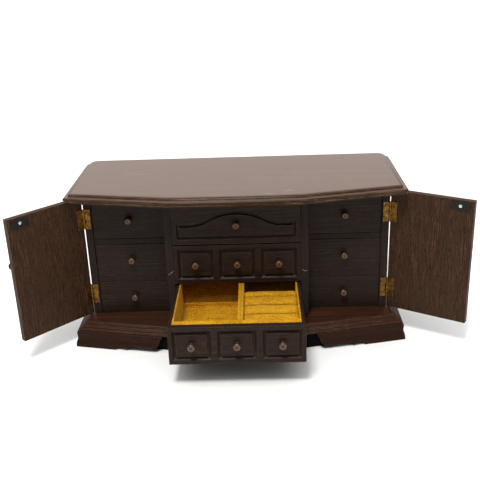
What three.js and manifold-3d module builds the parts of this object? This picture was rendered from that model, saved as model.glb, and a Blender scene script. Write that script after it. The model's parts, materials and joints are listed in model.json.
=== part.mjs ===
// Tabletop jewellery armoire: a moulded, bow-fronted case on bracket feet, with two hinged doors
// and nine drawers in three bays. Millimetres, +Z up, front towards -Y. The origin is on the
// floor at the middle of the front skirt's underside.
import * as THREE from 'three';
import { mergeVertices } from 'three/addons/utils/BufferGeometryUtils.js';
import Module from 'manifold-3d';

const wasm = await Module();
wasm.setup();

// ---------------------------------------------------------------- driving dimensions
// Outline shared by the top and the base
const overallWidth = 400;
const overallDepth = 170.5; // from the middle of the bowed front to the back edge of the top
const overallHeight = 198;
const cantAngle = THREE.MathUtils.degToRad(12); // outer thirds of the front fall back by this
const centreHalf = 78; // half width of the gently bowed middle of the front
const centreBow = 1.5;

// Case
const footHeight = 21.7;
const baseThickness = 8.9;
const topThickness = 12;
const tongueThickness = 7.5; // the top's rebated tongue, which drops in between the sides
const topOvoloRun = 10; // flat of the top starts this far in from its outline
const topOvoloFoot = 5;
const topOvoloFall = 3.4;
const topBeadRun = 2.8; // the bead under the ovolo, from its quirk out to the outline
const topBeadFall = 3.8;
const topFilletInset = 1.6;
const topFilletFall = 0.8;
const topCoveLip = 0.8;
const topCoveRun = 5;
const mouldingEase = 0.2; // sharp corners of the mouldings are eased by this
const baseReedCount = 3;
const baseReedRun = 12.6; // all the reeds together, across the base's edge
const baseUndercut = 2;
const topCornerRadius = 6; // back corners of the top's upper half
const cornerArris = 1; // the other back corners
const sideOverhang = 15.8; // top and base beyond the side panels
const backOverhang = 3;
const stileSetback = 27.4; // side panel's front corner behind the top's front corner
const sideThickness = 9.2;
const backThickness = 4;
const partitionThickness = 9;
const shelfThickness = 7;
const centreShelfRebate = 3.5; // shelves are thinner by this, from below, in the centre bay
const centreOpening = 153;
const lowerOpening = 43.2;
const middleOpening = 43.2;

// Front skirt and bracket feet
const skirtThickness = 6;
const skirtInset = 6.5; // skirt's face behind the base's edge
const footProud = 4.6; // how far a foot's toe stands out from the base's edge
const footWaist = 2.2;
const footToeHeight = 1.4;
const footBase = 0.4; // a foot's toe is rounded back by this at the floor
const frontFootLength = 105;
const frontFootReturn = 52; // along the sides
const backFootLength = 58;
const backFootReturn = 46;
const skirtEndGap = 14; // skirt's end from the front foot's return
const footPad = 46; // length of a front foot that bears on the floor
const scrollHeight = 6;
const footTipHeight = 3; // flat end of a bracket's tip under the base

// Doors and hinges
const doorThickness = 9.5;
const doorEndGap = 1;
const doorMeetingGap = 2.2; // free edge off the partition's outer face
const doorPinGap = 0.2; // door's and side's edges from the hinge pin's axis
const hingeLength = 25;
const hingeInset = 14.5; // hinge's end from the door's end
const hingeGap = 1.7; // between door and side, where the two leaves lie
const leafThickness = 0.6;
const leafWidth = 6.6;
const barrelRadius = 1.6;
const pinRadius = 0.8;
const pinInset = 0.5; // pin's ends inside the barrel's ends
const doorKnobDrop = 62; // knob below the door's top
const doorKnobInset = 6.5;
const doorStep = 2.2; // depth of the moulded step round the door's outer face
const doorStepInset = 0.8;
const doorStepRun = 3;
const doorGrooveInset = 13;
const strikeLength = 21;
const strikeHeight = 9.5;
const strikeThickness = 1;
const strikeInset = 5.3; // plate's end from the door's free edge
const strikeDrop = 2.5; // plate's edge below the door's top

// Drawers
const sideFaceSetback = 2.5; // side drawers' faces behind the side panels' inner front corners
const frontThickness = 7;
const frontGap = 1.6; // between the centre fronts, which cover the shelves' edges
const lowerJointRise = 4.2; // middle of that gap above the lower shelf's underside
const upperJointRise = 5.25; // and above the upper shelf's
const trayWall = 4;
const trayFloor = 2.6;
const trayDrop = 0.4; // tray's rim below the front's top edge
const trayBackGap = 2.2;
const dividerX = 4;
const dividerThickness = 3;
const dividerDrop = 0.6;
const liningFront = 4.2; // room for the velvet-covered strip behind a centre front
const ringRollCount = 3;
const ringRollPitch = 22;
const ringBackRoll = 12; // the narrower roll at the block's back
const ringRollDrop = 1.6; // rolls below the tray's rim
const ringShoulder = 3; // how far a roll's outer edge is rounded down
const ringSlit = 1.4;
const ringSlitDepth = 9;
const panelCount = 3;
const panelGap = 7;
const panelMarginX = 4.5;
const panelMarginMiddle = 5.6; // above and below the panels of the middle front
const panelMarginBottom = 5.2;
const quirkDepth = 0.8; // step down at the groove's outer edge
const coveRun = 1.6; // slope inside that step
const coveDepth = 2.4;
const grooveWidth = 4.4; // from the outer edge to the raised field
const grooveDepth = 3.2;
const grooveSlope = 0.7; // how far the raised field's edge leans in over the groove's depth
const archMarginX = 4.6;
const archMarginBottom = 6.2;
const archMarginTop = 6.6;
const archShoulderDrop = 15; // shoulders below the arch's crown
const archShoulderLength = 18;

// Knobs
const knobRadius = 4.6;
const knobLength = 9;
const knobRaise = 1.5; // knobs sit this far above the middle of a front

// Clearances
const seat = 0.1; // glue line between fixed pieces
const slotGap = 0.3; // round a shelf in a partition, and behind pieces in a turned group
const slideGap = 0.5; // each side of a moving drawer
const pinGap = 0.2;

// Pose as drawn: both doors swung open and the bottom centre drawer drawn out
const leftDoorOpen = THREE.MathUtils.degToRad(122);
const rightDoorOpen = THREE.MathUtils.degToRad(137);
const bottomTrayHeld = 13.3; // the drawn tray's back end, behind its front end's place when shut

// ---------------------------------------------------------------- places that follow
const cant = Math.tan(cantAngle);
const apexY = -(skirtInset + skirtThickness / 2);
const cornerX = overallWidth / 2;
const cornerY = apexY + centreBow + (cornerX - centreHalf) * cant;
const backY = apexY + overallDepth;
const baseTop = footHeight + baseThickness;
const topUnderside = overallHeight - topThickness;
const tongueUnderside = topUnderside - tongueThickness;
const sideOuter = cornerX - sideOverhang;
const sideInner = sideOuter - sideThickness;
const sideFront = cornerY + stileSetback;
const sideFrontInner = sideFront - sideThickness * cant;
const partitionInner = centreOpening / 2;
const partitionOuter = partitionInner + partitionThickness;
const partitionMiddle = partitionInner + partitionThickness / 2;
const partitionFront = sideFront - (sideOuter - partitionMiddle) * cant;
const caseBack = backY - backOverhang;
const backInner = caseBack - backThickness;
const lowerShelf = baseTop + lowerOpening;
const upperShelf = lowerShelf + shelfThickness + middleOpening;
const sideFace = sideFrontInner + sideFaceSetback;
const centreShelfFront = partitionFront + frontThickness + slideGap;
const centreTrayLength = backInner - trayBackGap - partitionFront - frontThickness - seat;
const bottomDrawerOut = centreTrayLength - bottomTrayHeld;
const halvingY = (centreShelfFront + backInner) / 2; // where shelf and partition slots meet
const doorBottom = baseTop + doorEndGap;
const doorTop = topUnderside - doorEndGap;
const pinX = sideOuter + doorPinGap;
const pinY = sideFront - (hingeGap / 2 - (pinX - sideOuter) * Math.sin(cantAngle)) / Math.cos(cantAngle);
const doorHingeEdge = doorPinGap;
const doorFreeEdge = (pinX - partitionOuter - doorMeetingGap) / Math.cos(cantAngle);
const hingeZs = [['upper', doorTop - hingeInset - hingeLength], ['lower', doorBottom + hingeInset]];

// ---------------------------------------------------------------- shape helpers
/** The front edge's y at x, set back by inset from the widest outline. */
function frontEdge(x, inset) {
  const past = Math.abs(x) - centreHalf;
  const bow = past > 0 ? centreBow + past * cant : centreBow * (x / centreHalf) ** 2;
  return apexY + bow + inset;
}

/** A closed surface through rings of equal point count, capped at both ends. */
function loft(rings) {
  const count = rings[0].length;
  const positions = rings.flat().flatMap((point) => [point.x, point.y, point.z]);
  const index = [];
  for (let ring = 0; ring + 1 < rings.length; ring += 1) {
    for (let i = 0; i < count; i += 1) {
      const a = ring * count + i;
      const b = ring * count + ((i + 1) % count);
      index.push(a, b, a + count, b, b + count, a + count);
    }
  }
  const last = (rings.length - 1) * count;
  for (const [a, b, c] of capTriangles(rings[0])) index.push(a, c, b);
  for (const [a, b, c] of capTriangles(rings[rings.length - 1])) index.push(last + a, last + b, last + c);
  const geometry = new THREE.BufferGeometry();
  geometry.setAttribute('position', new THREE.Float32BufferAttribute(positions, 3));
  geometry.setIndex(index);
  return facingOut(geometry);
}

/** Triangles of a flat ring, wound as the ring runs, seen along its flattest axis. */
function capTriangles(ring) {
  const box = new THREE.Box3().setFromPoints(ring);
  const size = box.getSize(new THREE.Vector3());
  const thin = Math.min(size.x, size.y, size.z);
  const [across, up] = thin === size.z ? ['x', 'y'] : thin === size.y ? ['x', 'z'] : ['y', 'z'];
  const contour = ring.map((p) => new THREE.Vector2(p[across], p[up]));
  const faces = THREE.ShapeUtils.triangulateShape(contour, []);
  const ringTurn = Math.sign(THREE.ShapeUtils.area(contour));
  return faces.map(([a, b, c]) => {
    const turn = Math.sign(THREE.ShapeUtils.area([contour[a], contour[b], contour[c]]));
    return turn === ringTurn ? [a, b, c] : [a, c, b];
  });
}

/** The same closed surface with its faces turned outwards. */
function facingOut(geometry) {
  const p = geometry.attributes.position;
  const index = geometry.index;
  const corner = [new THREE.Vector3(), new THREE.Vector3(), new THREE.Vector3()];
  let volume = 0;
  for (let i = 0; i < index.count; i += 3) {
    corner.forEach((v, k) => v.fromBufferAttribute(p, index.getX(i + k)));
    volume += corner[0].dot(corner[1].clone().cross(corner[2]));
  }
  if (volume < 0) {
    for (let i = 0; i < index.count; i += 3) {
      const swap = index.getX(i);
      index.setX(i, index.getX(i + 1));
      index.setX(i + 1, swap);
    }
  }
  return geometry;
}

/** A manifold solid from a closed geometry. */
function solid(geometry) {
  const bare = geometry.clone();
  bare.deleteAttribute('normal');
  bare.deleteAttribute('uv');
  const merged = mergeVertices(bare, 1e-5);
  return new wasm.Manifold(new wasm.Mesh({
    numProp: 3,
    vertProperties: new Float32Array(merged.attributes.position.array),
    triVerts: new Uint32Array(merged.index.array),
  }));
}

/** A geometry from a manifold solid. */
function toGeometry(manifold) {
  const mesh = manifold.getMesh();
  const geometry = new THREE.BufferGeometry();
  geometry.setAttribute('position', new THREE.Float32BufferAttribute(mesh.vertProperties, 3));
  geometry.setIndex(Array.from(mesh.triVerts));
  return geometry;
}

function join(first, ...others) {
  return toGeometry(others.reduce((sum, part) => sum.add(solid(part)), solid(first)));
}

function cut(first, ...others) {
  return toGeometry(others.reduce((rest, part) => rest.subtract(solid(part)), solid(first)));
}

/** A box between two corners, given in any order. */
function block([x0, x1], [y0, y1], [z0, z1]) {
  const box = new THREE.BoxGeometry(Math.abs(x1 - x0), Math.abs(y1 - y0), Math.abs(z1 - z0));
  return box.translate((x0 + x1) / 2, (y0 + y1) / 2, (z0 + z1) / 2);
}

/** A plan polygon of [x, y] corners stood up between two heights. */
function prism(corners, z0, z1) {
  return loft([z0, z1].map((z) => corners.map(([x, y]) => new THREE.Vector3(x, y, z))));
}

/** A shape drawn in the x-z plane, run from y0 to y1. */
function slabAcross(shape, y0, y1, steps = 6) {
  const points = shape.getPoints(steps);
  if (points[0].equals(points[points.length - 1])) points.pop();
  return loft([y0, y1].map((y) => points.map((p) => new THREE.Vector3(p.x, y, p.y))));
}

function cylinder(radius, z0, z1, segments = 14) {
  return new THREE.CylinderGeometry(radius, radius, z1 - z0, segments)
    .rotateX(Math.PI / 2)
    .translate(0, 0, (z0 + z1) / 2);
}

// ---------------------------------------------------------------- finishes
const finish = (color, roughness, metalness = 0) => new THREE.MeshStandardMaterial({ color, roughness, metalness });
const finishes = {
  top: () => finish(0x7d6a5e, 0.35),
  base: () => finish(0x4f3128, 0.4),
  case: () => finish(0x33271f, 0.5),
  door: () => finish(0x46301f, 0.5),
  front: () => finish(0x352a26, 0.45),
  tray: () => finish(0xb98422, 0.9),
  rolls: () => finish(0xc8922a, 0.9),
  knob: () => finish(0x5a4030, 0.35),
  brass: () => finish(0xb8863a, 0.35, 0.9),
  steel: () => finish(0x2b2b2b, 0.4, 0.6),
};

const armoire = new THREE.Group();

/** Puts a named piece in a group. */
function place(group, name, geometry, material) {
  const mesh = new THREE.Mesh(geometry, finishes[material]());
  mesh.name = name;
  group.add(mesh);
  return mesh;
}

function groupAt(x, y, z, turn = 0) {
  const group = new THREE.Group();
  group.position.set(x, y, z);
  group.rotation.z = turn;
  armoire.add(group);
  return group;
}

const sides = [['left', -1], ['right', 1]];

// ---------------------------------------------------------------- top and base
/** One ring of the outline at a height: canted front, bowed middle, square or rounded back. */
function outlineRing(inset, z, backRadius) {
  const x = cornerX - inset;
  const ring = [new THREE.Vector3(-x, frontEdge(x, inset), z)];
  const bowSteps = 8;
  for (let i = 0; i <= bowSteps; i += 1) {
    const along = centreHalf * ((2 * i) / bowSteps - 1);
    ring.push(new THREE.Vector3(along, frontEdge(along, inset), z));
  }
  ring.push(new THREE.Vector3(x, frontEdge(x, inset), z));
  for (const side of [1, -1]) {
    const arcSteps = 4;
    for (let i = 0; i <= arcSteps; i += 1) {
      const angle = (Math.PI / 2) * (side > 0 ? i / arcSteps : 1 - i / arcSteps);
      const dx = x - backRadius + backRadius * Math.cos(angle);
      const dy = backY - backRadius + backRadius * Math.sin(angle);
      ring.push(new THREE.Vector3(side * dx, dy, z));
    }
  }
  return ring;
}

/** A board with a moulded edge: the profile runs from the top face's edge to the underside's. */
function mouldedBoard(profile, underside, backRadiusAt) {
  const rings = profile.map((point) => outlineRing(point.x, underside + point.y, backRadiusAt(point.y)));
  return loft(rings);
}

/** Top edge: an ovolo, a quirk, a bead and a small cove below it; x is inset, y is height. */
function topEdge() {
  const edge = new THREE.Path();
  const quirk = topThickness - topOvoloFall;
  const fillet = quirk - topBeadFall;
  edge.moveTo(topOvoloRun, topThickness);
  edge.quadraticCurveTo(topOvoloFoot + 2 * mouldingEase, topThickness, topOvoloFoot, quirk);
  edge.lineTo(topBeadRun, quirk);
  edge.quadraticCurveTo(0, quirk - mouldingEase, 0, fillet + topFilletInset);
  edge.quadraticCurveTo(0, fillet + mouldingEase, topFilletInset, fillet);
  edge.lineTo(topFilletInset, fillet - topFilletFall);
  edge.lineTo(topCoveLip, fillet - topFilletFall - mouldingEase);
  edge.quadraticCurveTo(topFilletInset, topCoveLip + mouldingEase, topCoveRun, 0);
  return edge.getPoints(3);
}

/** Base edge: three reeds, each a little wider than the one above. */
function baseEdge() {
  const edge = new THREE.Path();
  const stepRun = baseReedRun / baseReedCount;
  const stepFall = baseThickness / baseReedCount;
  const nose = stepRun * 0.85; // the rest of each step is the flat beside its reed
  edge.moveTo(baseReedRun, baseThickness);
  for (let i = 0; i < baseReedCount; i += 1) {
    const x = baseReedRun - i * stepRun;
    const y = baseThickness - i * stepFall;
    edge.quadraticCurveTo(x - stepRun * 0.75, y - mouldingEase / 2, x - nose, y - stepFall * 0.8);
    edge.lineTo(x - nose, y - stepFall);
    if (i + 1 < baseReedCount) edge.lineTo(x - stepRun, y - stepFall);
  }
  edge.lineTo(stepRun - nose + baseUndercut, 0);
  return edge.getPoints(3);
}

const tongueFront = partitionFront + slotGap;
const tongue = prism([
  [sideInner - seat, sideFrontInner + slotGap],
  [partitionOuter, tongueFront],
  [-partitionOuter, tongueFront],
  [-sideInner + seat, sideFrontInner + slotGap],
  [-sideInner + seat, backInner - seat],
  [sideInner - seat, backInner - seat],
], tongueUnderside, topUnderside + 1);
const topBackRadius = (y) => (y > topThickness / 2 ? topCornerRadius : cornerArris);
place(armoire, 'top_board', join(mouldedBoard(topEdge(), topUnderside, topBackRadius), tongue), 'top');
place(armoire, 'base_board', mouldedBoard(baseEdge(), footHeight, () => cornerArris), 'base');

// ---------------------------------------------------------------- skirt and feet
const skirtEnd = cornerX - skirtInset - skirtThickness - skirtEndGap;
const skirtXs = [-skirtEnd, -centreHalf, -centreHalf / 2, 0, centreHalf / 2, centreHalf, skirtEnd];
const skirtPlan = [
  ...skirtXs.map((x) => [x, frontEdge(x, skirtInset)]),
  ...[...skirtXs].reverse().map((x) => [x, frontEdge(x, skirtInset + skirtThickness)]),
];
place(armoire, 'front_skirt', prism(skirtPlan, 0, footHeight - seat), 'case');

/** A foot's outer face from the floor up: x is how far it stands proud, y is height. */
function footFace() {
  const face = new THREE.Path();
  face.moveTo(footProud - footBase, 0);
  face.lineTo(footProud, footToeHeight);
  face.quadraticCurveTo(footProud, footHeight * 0.3, footWaist, footHeight * 0.5);
  face.quadraticCurveTo(footWaist - 0.3, footHeight * 0.72, footWaist + 0.5, footHeight * 0.84);
  face.quadraticCurveTo(footWaist, footHeight - seat - 0.4, 0, footHeight - seat);
  return face.getPoints(3);
}

/** The space under a bracket, from its pad's end to past its tip; x runs from the corner. */
function scroll(pad, length) {
  const rise = scrollHeight;
  const shape = new THREE.Shape();
  shape.moveTo(pad, -1);
  shape.lineTo(pad, 0.8);
  shape.quadraticCurveTo(pad + 1, rise * 0.8, pad + 6, rise * 0.8);
  shape.quadraticCurveTo(pad + 11, rise * 0.8, pad + 14, rise * 0.4);
  shape.quadraticCurveTo(pad + 16, rise, pad + 22, rise);
  shape.lineTo(length - 10, rise);
  shape.quadraticCurveTo(length - 3, rise + 2, length - 1.5, footHeight - footTipHeight);
  shape.lineTo(length + 5, footHeight - footTipHeight);
  shape.lineTo(length + 5, -1);
  return shape;
}

const footInner = skirtInset - slotGap; // foot's inner face, just clear of the skirt

function frontFoot(side) {
  const tipX = cornerX - frontFootLength;
  const returnY = cornerY + frontFootReturn;
  const innerX = cornerX - footInner;
  const bends = tipX < centreHalf ? [centreHalf] : []; // where the canted front meets the bowed middle
  const rings = footFace().map(({ x: proud, y: z }) => [
    [tipX, frontEdge(tipX, -proud)],
    ...bends.map((x) => [x, frontEdge(x, -proud)]),
    [cornerX + proud, frontEdge(cornerX + proud, -proud)],
    [cornerX + proud, returnY],
    [innerX, returnY],
    [innerX, frontEdge(innerX, footInner)],
    ...bends.map((x) => [x, frontEdge(x, footInner)]),
    [tipX, frontEdge(tipX, footInner)],
  ].map(([x, y]) => new THREE.Vector3(side * x, y, z)));
  const under = slabAcross(scroll(footPad, frontFootLength), -overallDepth, cornerY + 2 * footInner);
  under.scale(-side, 1, 1).translate(side * cornerX, 0, 0);
  return cut(loft(rings), facingOut(mergeVertices(under)));
}

function backFoot(side) {
  const returnY = backY - backFootReturn;
  const innerX = cornerX - footInner;
  const tipX = cornerX - backFootLength;
  const rings = footFace().map(({ x: proud, y: z }) => [
    [tipX, backY],
    [cornerX + proud, backY],
    [cornerX + proud, returnY],
    [innerX, returnY],
    [innerX, backY - footInner],
    [tipX, backY - footInner],
  ].map(([x, y]) => new THREE.Vector3(side * x, y, z)));
  return loft(rings);
}

for (const [name, side] of sides) {
  place(armoire, `foot_front_${name}`, frontFoot(side), 'base');
  place(armoire, `foot_back_${name}`, backFoot(side), 'base');
}

// ---------------------------------------------------------------- case
/** The rounds that the hinge barrels need in a board's corner, about the pin's axis. */
function barrelNotches() {
  const room = barrelRadius + slotGap;
  return hingeZs.map(([, z]) => cylinder(room, z - slotGap, z + hingeLength + slotGap));
}

for (const [name, side] of sides) {
  const plan = [
    [sideInner, sideFrontInner],
    [sideOuter, sideFront],
    [sideOuter, caseBack],
    [sideInner, caseBack],
  ].map(([x, y]) => [side * x, y]);
  const board = prism(plan, baseTop + seat, topUnderside - seat);
  const notches = barrelNotches().map((notch) => notch.translate(side * pinX, pinY, 0));
  place(armoire, `side_${name}`, cut(board, ...notches), 'case');
}

for (const [name, side] of sides) {
  const board = block([side * partitionInner, side * partitionOuter], [partitionFront, backInner - seat],
    [baseTop + seat, tongueUnderside - seat]);
  const slots = [lowerShelf, upperShelf].map((z) => block(
    [side * (partitionInner - 1), side * (partitionOuter + 1)],
    [halvingY, backInner + 1],
    [z - slotGap, z + shelfThickness + slotGap],
  ));
  place(armoire, `partition_${name}`, cut(board, ...slots), 'case');
}

place(armoire, 'back_panel', block([-sideInner + seat, sideInner - seat], [backInner, caseBack],
  [baseTop + seat, topUnderside - seat]), 'case');

/** Shelf plan: side bays reach the side drawers' faces, the centre stops behind its fronts. */
const shelfPlan = [];
for (const side of [-1, 1]) {
  const half = [
    [sideInner - seat, backInner - seat],
    [sideInner - seat, sideFace],
    [partitionOuter + slotGap, sideFace],
    [partitionOuter + slotGap, halvingY + slotGap],
    [partitionInner - slotGap, halvingY + slotGap],
    [partitionInner - slotGap, centreShelfFront],
  ].map(([x, y]) => [side * x, y]);
  shelfPlan.push(...(side < 0 ? half : half.reverse()));
}
for (const [name, z] of [['lower', lowerShelf], ['upper', upperShelf]]) {
  const rebateX = partitionInner - slotGap;
  const rebate = block([-rebateX, rebateX], [0, backInner], [z - 1, z + centreShelfRebate]);
  place(armoire, `shelf_${name}`, cut(prism(shelfPlan, z, z + shelfThickness), rebate), 'case');
}

// ---------------------------------------------------------------- knobs
/** A turned mushroom knob that stands out towards -Y from y = 0. */
function knob(segments = 12) {
  const profile = new THREE.Path();
  profile.moveTo(0, 0);
  profile.lineTo(knobRadius * 0.62, 0);
  profile.lineTo(knobRadius * 0.62, knobLength * 0.1);
  profile.quadraticCurveTo(knobRadius * 0.3, knobLength * 0.25, knobRadius * 0.5, knobLength * 0.45);
  profile.lineTo(knobRadius, knobLength * 0.62);
  profile.quadraticCurveTo(knobRadius, knobLength * 0.98, 0, knobLength);
  return new THREE.LatheGeometry(profile.getPoints(3), segments).rotateX(Math.PI).translate(0, -seat, 0);
}

// ---------------------------------------------------------------- doors and hinges
const knuckles = 3;

/** One hinge leaf at the pin, with the knuckles it holds; the door's leaf lies at -Y. */
function hingeLeaf(side, towards, ownKnuckles, pinned) {
  const knuckle = hingeLength / knuckles;
  const face = (hingeGap / 2 - slotGap / 2) * towards;
  const inner = face - leafThickness * towards;
  const near = barrelRadius + slotGap;
  let leaf = solid(block([-side * near, -side * (near + leafWidth)], [face, inner], [0, hingeLength]));
  for (const k of ownKnuckles) {
    const z0 = k * knuckle + (k > 0 ? slotGap / 2 : 0);
    const z1 = (k + 1) * knuckle - (k + 1 < knuckles ? slotGap / 2 : 0);
    const tab = block([0, -side * (near + 1)], [face, inner], [z0, z1]);
    leaf = leaf.add(solid(cylinder(barrelRadius, z0, z1))).add(solid(tab));
  }
  if (pinned) return toGeometry(leaf.add(solid(cylinder(pinRadius, pinInset, hingeLength - pinInset))));
  return toGeometry(leaf.subtract(solid(cylinder(pinRadius + pinGap, -1, hingeLength + 1))));
}

/** A door: a flat inner face, a stepped edge outside and one raised panel in a routed groove. */
function doorPanel(side) {
  const width = doorFreeEdge - doorHingeEdge;
  const height = doorTop - doorBottom;
  const rim = new THREE.Path();
  const groove = doorGrooveInset;
  rim.moveTo(0, 0);
  rim.lineTo(0, doorThickness - doorStep);
  rim.lineTo(doorStepInset, doorThickness - doorStep);
  rim.quadraticCurveTo(doorStepInset, doorThickness, doorStepRun, doorThickness);
  rim.lineTo(groove, doorThickness);
  rim.lineTo(groove, doorThickness - grooveDepth);
  rim.lineTo(groove + grooveWidth - grooveSlope, doorThickness - grooveDepth);
  rim.lineTo(groove + grooveWidth, doorThickness);
  const rings = rim.getPoints(3).map(({ x: inset, y: out }) => [
    [inset, inset],
    [width - inset, inset],
    [width - inset, height - inset],
    [inset, height - inset],
  ].map(([x, z]) => new THREE.Vector3(-side * (doorHingeEdge + x), -hingeGap / 2 - out, z)));
  return loft(rings);
}

for (const [name, side] of sides) {
  const opened = side < 0 ? leftDoorOpen : rightDoorOpen;
  const doorGroup = groupAt(side * pinX, pinY, 0, side * (cantAngle + opened));
  const frameGroup = groupAt(side * pinX, pinY, 0, side * cantAngle);
  for (const [level, z] of hingeZs) {
    const fixed = hingeLeaf(side, 1, [0, 2], true).translate(0, 0, z);
    const moving = hingeLeaf(side, -1, [1], false).translate(0, 0, z);
    place(frameGroup, `hinge_frame_leaf_${name}_${level}`, fixed, 'brass');
    place(doorGroup, `hinge_door_leaf_${name}_${level}`, moving, 'brass');
  }
  const board = doorPanel(side).translate(0, 0, doorBottom);
  place(doorGroup, `door_${name}`, cut(board, ...barrelNotches()), 'door');
  const knobX = -side * (doorFreeEdge - doorKnobInset);
  const knobY = -hingeGap / 2 - doorThickness;
  place(doorGroup, `door_knob_${name}`, knob().translate(knobX, knobY, doorTop - doorKnobDrop), 'knob');
  const strikeEnd = doorFreeEdge - strikeInset;
  const strikeTop = doorTop - strikeDrop;
  const strike = block(
    [-side * strikeEnd, -side * (strikeEnd - strikeLength)],
    [-hingeGap / 2 + seat, -hingeGap / 2 + seat + strikeThickness],
    [strikeTop - strikeHeight, strikeTop],
  );
  place(doorGroup, `strike_plate_${name}`, strike, 'steel');
}

// ---------------------------------------------------------------- drawers
/** A raised field in a routed groove: the stepped recess to cut and the field to leave in it. */
function panelGroove(outlineAt) {
  const deep = grooveDepth;
  const steps = [[0, -1], [0, quirkDepth], [coveRun, coveDepth], [coveRun, deep]];
  const recess = loft(steps.map(
    ([inset, y]) => outlineAt(inset).map(([x, z]) => new THREE.Vector3(x, y, z)),
  ));
  const field = loft([[grooveWidth, 0], [grooveWidth - grooveSlope, deep + 1]].map(
    ([inset, y]) => outlineAt(inset).map(([x, z]) => new THREE.Vector3(x, y, z)),
  ));
  return { recess, field };
}

function squareOutline(x, z, width, height) {
  return (inset) => {
    const w = width / 2 - inset;
    const h = height / 2 - inset;
    return [[x - w, z - h], [x + w, z - h], [x + w, z + h], [x - w, z + h]];
  };
}

/** A straight-sided panel under an ogee arch, for a front of the given size. */
function archOutline(width, height) {
  return (inset) => {
    const x = width / 2 - archMarginX - inset;
    const bottom = archMarginBottom + inset;
    const crown = height - archMarginTop - inset;
    const shoulder = crown - archShoulderDrop;
    const start = width / 2 - archMarginX - archShoulderLength;
    const half = new THREE.Path();
    half.moveTo(x, shoulder);
    half.lineTo(start, shoulder);
    half.bezierCurveTo(start * 0.62, shoulder, start * 0.55, crown, 0, crown);
    const right = half.getPoints(8).map((p) => [p.x, p.y]);
    const left = right.slice(0, -1).reverse().map(([px, pz]) => [-px, pz]);
    return [[-x, bottom], [x, bottom], ...right, ...left];
  };
}

/** A drawer front from y = 0 back, with any panels routed into its face. */
function drawerFront(width, height, outlines) {
  let board = solid(block([-width / 2, width / 2], [0, frontThickness], [0, height]));
  for (const outline of outlines) {
    const { recess, field } = panelGroove(outline);
    board = board.subtract(solid(recess)).add(solid(field));
  }
  return toGeometry(board);
}

/** An open-topped tray behind a front; walls can be added inside it. */
function drawerTray(width, depth, height, inside = []) {
  const box = block([-width / 2, width / 2], [0, depth], [0, height]);
  const hollow = block([-width / 2 + trayWall, width / 2 - trayWall], [trayWall, depth - trayWall],
    [trayFloor, height + 1]);
  return join(cut(box, hollow), ...inside);
}

/** Puts one whole drawer in place; z and height are its front's, knobXs its knobs'. */
function drawer(name, bay, z, height, knobXs, outlines, options = {}) {
  const { trayZ = z + slideGap, trayTop = z + height - trayDrop, out = 0, inside = [] } = options;
  const group = groupAt(bay.x, bay.face - out, 0);
  const front = drawerFront(bay.width, height, outlines);
  const trayDepth = backInner - trayBackGap - bay.face - frontThickness - seat;
  const trayWidth = bay.width - 2 * slideGap;
  const tray = drawerTray(trayWidth, trayDepth, trayTop - trayZ, inside);
  place(group, `drawer_${name}_front`, front.translate(0, 0, z), 'front');
  place(group, `drawer_${name}_tray`, tray.translate(0, frontThickness + seat, trayZ), 'tray');
  const knobZ = z + height / 2 + knobRaise;
  knobXs.forEach((x, i) => {
    const label = knobXs.length > 1 ? `knob_${i + 1}` : 'knob';
    place(group, `drawer_${name}_${label}`, knob().translate(x, 0, knobZ), 'knob');
  });
  return { group, trayDepth, trayWidth, trayZ };
}

const sideBayWidth = sideInner - partitionOuter - 2 * slideGap;
const levels = [
  ['top', upperShelf + shelfThickness, tongueUnderside],
  ['middle', lowerShelf + shelfThickness, upperShelf],
  ['bottom', baseTop, lowerShelf],
];
for (const [name, side] of sides) {
  const bay = { x: side * (sideInner + partitionOuter) / 2, face: sideFace, width: sideBayWidth };
  for (const [level, z0, z1] of levels) {
    drawer(`${name}_${level}`, bay, z0 + slideGap, z1 - z0 - 2 * slideGap, [0], []);
  }
}

const centreBay = { x: 0, face: partitionFront, width: centreOpening - 2 * slideGap };
const lowerJoint = lowerShelf + lowerJointRise;
const upperJoint = upperShelf + upperJointRise;
const centreFronts = {
  top: [upperJoint + frontGap / 2, tongueUnderside - slideGap],
  middle: [lowerJoint + frontGap / 2, upperJoint - frontGap / 2],
  bottom: [baseTop + slideGap, lowerJoint - frontGap / 2],
};
const openingOf = Object.fromEntries(levels.map(([level, z0, z1]) => [level, [z0, z1]]));
const trayHeights = (level) => {
  const [z0, z1] = openingOf[level];
  const ceiling = level === 'top' ? z1 : z1 + centreShelfRebate;
  return { trayZ: z0 + slideGap, trayTop: Math.min(ceiling - slideGap, centreFronts[level][1] - trayDrop) };
};
const panelWidth = (centreBay.width - 2 * panelMarginX - (panelCount - 1) * panelGap) / panelCount;
const panelPitch = panelWidth + panelGap;
const panelXs = Array.from({ length: panelCount }, (_, i) => (i - (panelCount - 1) / 2) * panelPitch);
const tripleOutlines = ([z0, z1], margin) => panelXs.map(
  (x) => squareOutline(x, (z1 - z0) / 2, panelWidth, z1 - z0 - 2 * margin),
);

const [archZ0, archZ1] = centreFronts.top;
drawer('centre_top', centreBay, archZ0, archZ1 - archZ0, [0],
  [archOutline(centreBay.width, archZ1 - archZ0)], trayHeights('top'));

const [middleZ0, middleZ1] = centreFronts.middle;
drawer('centre_middle', centreBay, middleZ0, middleZ1 - middleZ0, panelXs,
  tripleOutlines(centreFronts.middle, panelMarginMiddle), trayHeights('middle'));

const [bottomZ0, bottomZ1] = centreFronts.bottom;
const bottomTray = trayHeights('bottom');
const divider = block(
  [dividerX - dividerThickness / 2, dividerX + dividerThickness / 2],
  [trayWall / 2, centreTrayLength - trayWall / 2],
  [trayFloor / 2, bottomTray.trayTop - bottomTray.trayZ - dividerDrop],
);
const bottomOptions = { ...bottomTray, out: bottomDrawerOut, inside: [divider] };
const bottomDrawer = drawer('centre_bottom', centreBay, bottomZ0, bottomZ1 - bottomZ0, panelXs,
  tripleOutlines(centreFronts.bottom, panelMarginBottom), bottomOptions);

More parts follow.
